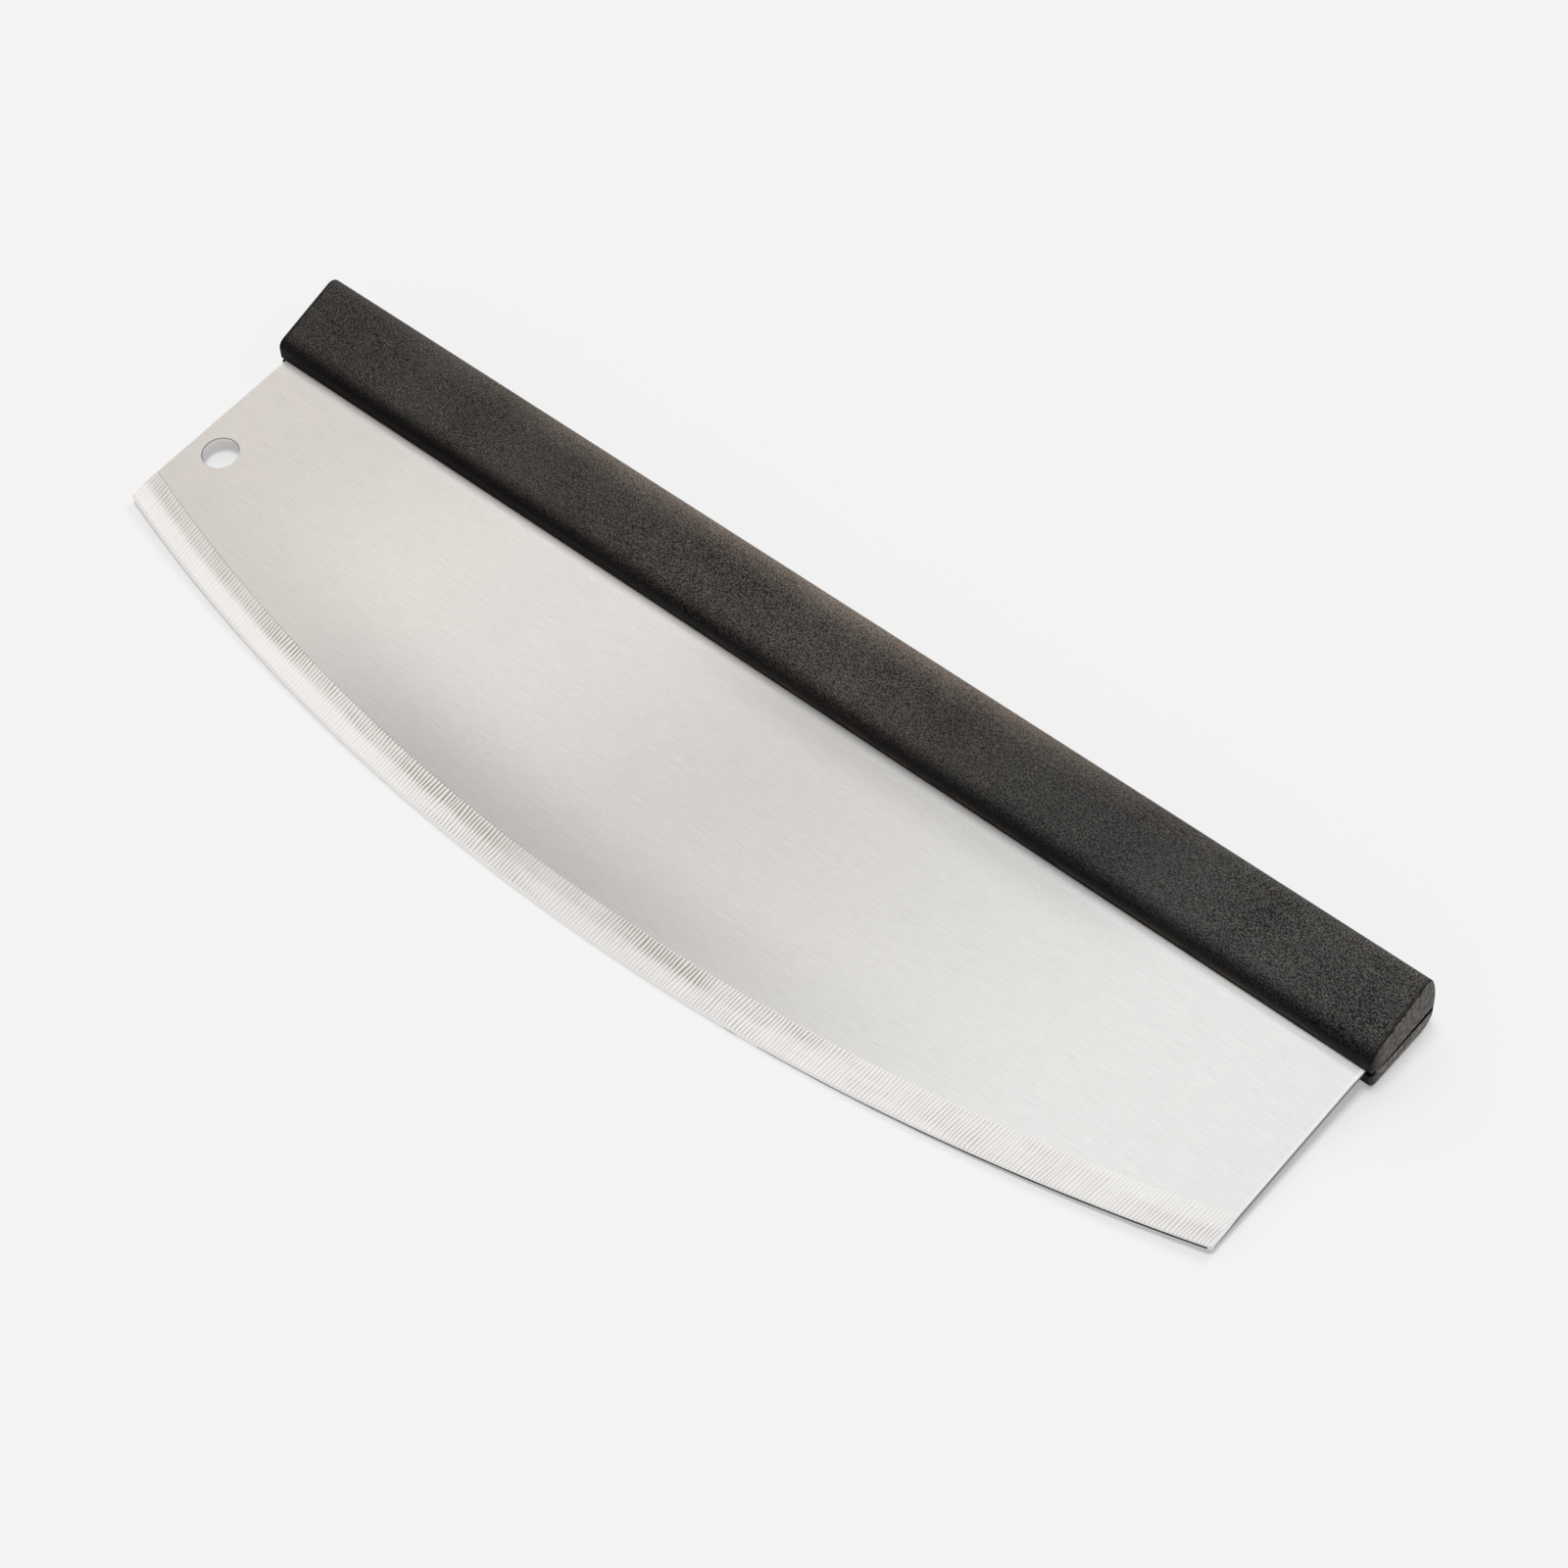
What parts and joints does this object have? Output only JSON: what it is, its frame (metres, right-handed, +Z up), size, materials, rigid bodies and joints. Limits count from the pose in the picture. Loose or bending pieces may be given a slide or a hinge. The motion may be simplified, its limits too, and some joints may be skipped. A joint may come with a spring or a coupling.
{
  "type": "rocking pizza knife",
  "caption": "Long steel blade with a curved, ground cutting edge under a full-length two-shell handle, rocked across a pizza to cut it.",
  "frame": {"origin": "middle of the handle's flat underside, on the table that the knife lies on", "axes": "+X along the blade, with the hanging hole at the -X end; -Y from the handle towards the cutting edge; +Z up, away from the table"},
  "size_m": [0.3588, 0.1094, 0.02],
  "materials": {
    "blade_steel": "fine grain along the blade, with a ground bevel at the cutting edge",
    "handle_plastic": "charcoal, finely textured and matte",
    "screw_steel": "bright zinc"
  },
  "bodies": {
    "root": {"blade": "blade_steel", "front_handle_shell": "handle_plastic", "rear_handle_shell": "handle_plastic", "handle_screws": "screw_steel"}
  },
  "joints": []
}
